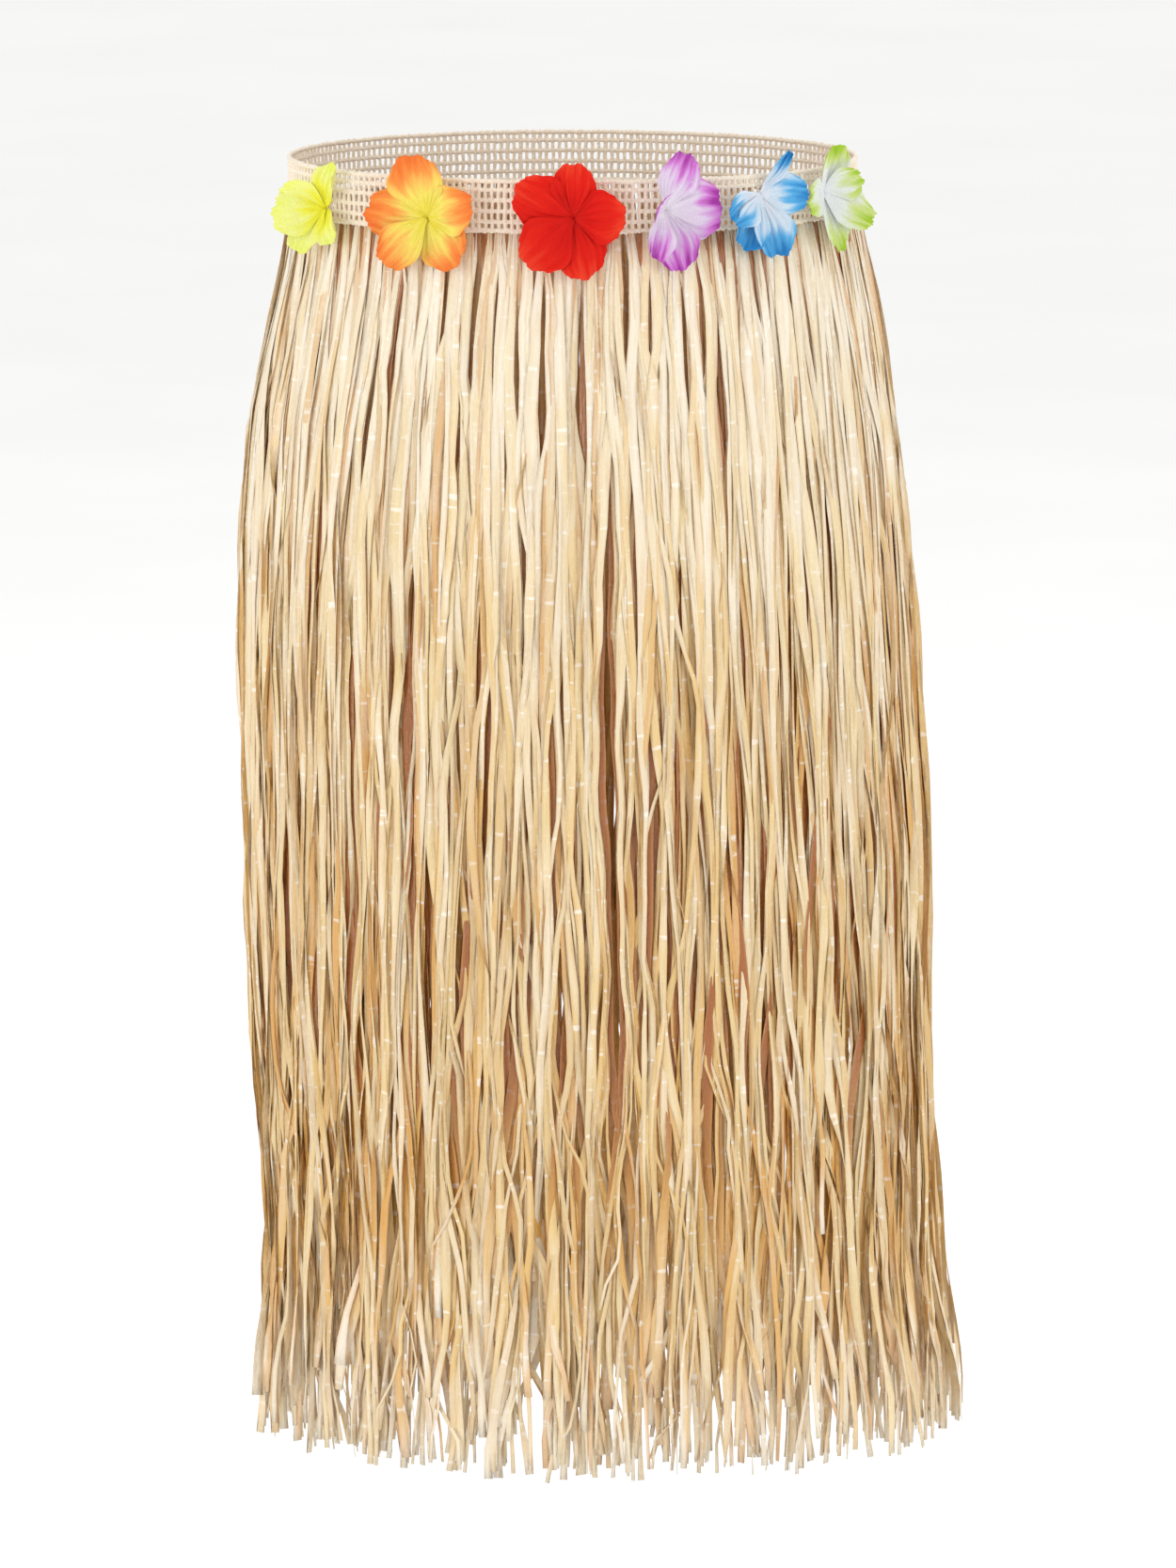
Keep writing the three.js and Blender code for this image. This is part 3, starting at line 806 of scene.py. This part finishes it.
def petalPoints(petal, frameAxes, layer):
    # front points of one petal, from the sewn middle to its rounded tip
    direction, reach, lift, width, fold, tilt = petal
    along, up, outward, middle = frameAxes
    rows, columns = petalShape["rows"], petalShape["columns"]
    v = np.linspace(0, 1, rows)[:, None]
    u = np.linspace(-1, 1, columns)[None, :]
    swell = 0.12 + 0.88 * smoothStep(-0.05, 0.58, v)
    half = 0.5 * width * mm * swell * (1 - 0.2 * smoothStep(0.68, 1.0, v))
    phase = petalRng.uniform(0, 6.28, 6)
    slow, middling, fine = petalShape["scallops"]
    scallop = (slow * np.sin(4.2 * u + phase[0]) + middling * np.sin(8.3 * u + phase[1])
               + fine * np.sin(25 * u + phase[4]))
    run = v - 0.2 * np.abs(u) ** 2.6 * v ** 2 + scallop * smoothStep(0.55, 1.0, v)
    foldAngle = fold * 1.25
    sideways = half * u * math.cos(foldAngle)
    raised = lift * mm * np.clip(run, 0, 2) ** 1.4
    raised = raised + half * np.abs(u) * math.sin(foldAngle) * smoothStep(0.05, 0.5, v)
    raised += 0.16 * half * (u ** 2)
    longRuffle, shortRuffle = petalShape["ruffles"]
    raised += longRuffle * np.sin(2.6 * u + phase[2]) * smoothStep(0.4, 1.0, v)
    raised += shortRuffle * np.sin(6.1 * u + phase[3]) * smoothStep(0.55, 1.0, v)
    crease = petalShape["pleats"] * np.pi * u * (1 + 0.12 * np.sin(3 * u + phase[5]))
    raised += petalShape["pleatDepth"] * np.cos(crease) * smoothStep(0.08, 0.35, v)
    raised -= 1.2 * mm * (1 - smoothStep(0.0, 0.12, v))
    raised += layer * petalShape["overlap"]
    angle = math.radians(direction)
    tilted = math.radians(tilt)
    inPlane = sideways * math.cos(tilted)
    raised = raised + sideways * math.sin(tilted)
    reachX = reach * mm * run * math.cos(angle) - inPlane * math.sin(angle)
    reachZ = reach * mm * run * math.sin(angle) + inPlane * math.cos(angle)
    grid = middle[None, None] + reachX[..., None] * along + reachZ[..., None] * up
    grid = grid + raised[..., None] * outward
    return grid, np.broadcast_to(run, (rows, columns)), np.broadcast_to(u, (rows, columns))


def buildFlower(colour, spec, material):
    angle = math.radians(spec["around"])
    x, y, outX, outY = bandPoint(angle, -2.0 * mm)
    middle = np.array([x, y, spec["height"] * mm])
    outward = np.array([outX, outY, 0.0])
    up = np.array([0.0, 0.0, 1.0])
    along = np.cross(up, outward)
    rows, columns = petalShape["rows"], petalShape["columns"]
    points, faces, alongs, acrosses, tones = [], [], [], [], []
    for layer, petal in enumerate(spec["petals"]):
        grid, run, u = petalPoints(petal, (along, up, outward, middle), layer)
        start = len(points)
        points += grid.reshape(-1, 3).tolist()
        alongs += run.ravel().tolist()
        acrosses += (0.5 + 0.5 * u).ravel().tolist()
        tones += [petalRng.random()] * (rows * columns)
        for row in range(rows - 1):
            for column in range(columns - 1):
                a = start + row * columns + column
                faces.append((a, a + 1, a + columns + 1, a + columns))
    piece = newMesh("flower" + colour.capitalize(), points, faces, material,
                    {"along": alongs, "across": acrosses, "tone": tones})
    shell = piece.modifiers.new("clothThickness", "SOLIDIFY")
    shell.thickness = petalShape["cloth"]
    shell.offset = 0
    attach(piece, "root")
    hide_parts("flower_" + colour)


studio = {
    "target": Vector((0.0095, 0.0, -0.373)),
    "distance": 8.0,
    "elevation": 10.0,  # degrees
    "lens": 299.0,  # mm
    "floorDrop": 1.02,  # from the waist to the floor
    "paperHalf": 40.0,
    "air": 0.95,  # brightness of the white tent round everything
    "lights": [
        # name, place, aim, size, watts
        ("softboxLeft", (-2.9, -2.3, 0.3), (0, 0, -0.3), (0.8, 2.0), 25),
        ("softboxRight", (3.0, -2.2, 0.2), (0, 0, -0.3), (0.8, 2.0), 18),
        ("softboxBack", (0.8, 3.2, 2.8), (0, 0, -0.4), (1.4, 1.4), 30),
    ],
}


def makePaper():
    # matt white paper roll, very slightly mottled
    material, tree = newMaterial("mattWhitePaper")
    place = addNode(tree, "ShaderNodeTexCoord")
    mottle = addNode(tree, "ShaderNodeTexNoise", None, {"Vector": place.outputs["Object"], "Scale": 3.0})
    colour = addNode(tree, "ShaderNodeValToRGB", None, {"Fac": mottle.outputs["Fac"]},
                     [(0.3, "#FAFAF9"), (0.7, "#FDFDFC")])
    surface = addNode(tree, "ShaderNodeBsdfPrincipled", None, {
        "Base Color": colour.outputs["Color"], "Roughness": 0.95})
    addNode(tree, "ShaderNodeOutputMaterial", None, {"Surface": surface.outputs["BSDF"]})
    return material


def buildStudio():
    # a level sheet of paper, wide enough to pass behind the skirt from every side
    half = studio["paperHalf"]
    floorZ = -studio["floorDrop"]
    points = [(-half, -half, floorZ), (half, -half, floorZ), (half, half, floorZ), (-half, half, floorZ)]
    paper = newMesh("paperFloor", points, [(0, 1, 2, 3)], makePaper())
    world = bpy.data.worlds.new("studioAir")
    world.use_nodes = True
    air = world.node_tree.nodes["Background"]
    air.inputs["Color"].default_value = (1, 1, 1, 1)
    air.inputs["Strength"].default_value = studio["air"]
    bpy.context.scene.world = world
    for name, place, aim, size, watts in studio["lights"]:
        data = bpy.data.lights.new(name, "AREA")
        data.shape = "RECTANGLE"
        data.size, data.size_y = size
        data.energy = watts
        lamp = bpy.data.objects.new(name, data)
        lamp.location = place
        lamp.rotation_euler = (Vector(aim) - Vector(place)).to_track_quat("-Z", "Y").to_euler()
        bpy.context.scene.collection.objects.link(lamp)
    camera = bpy.data.cameras.new("camera")
    camera.lens = studio["lens"]
    camera.sensor_width = 36
    holder = bpy.data.objects.new("camera", camera)
    rise = math.radians(studio["elevation"])
    back = Vector((0, -math.cos(rise), math.sin(rise)))
    holder.location = studio["target"] + back * studio["distance"]
    holder.rotation_euler = (-back).to_track_quat("-Z", "Y").to_euler()
    bpy.context.scene.collection.objects.link(holder)
    bpy.context.scene.camera = holder
    bpy.context.scene.view_settings.view_transform = "Standard"


buildStudio()
print("studio ready")
buildWaistband(makeKnitYarn())
buildFringe(makeRaffiaFilm(fringeLength))
for colour, spec in flowers.items():
    buildFlower(colour, spec, makePetalCloth(petalNames[colour], spec["dye"]))
print("flowers ready")
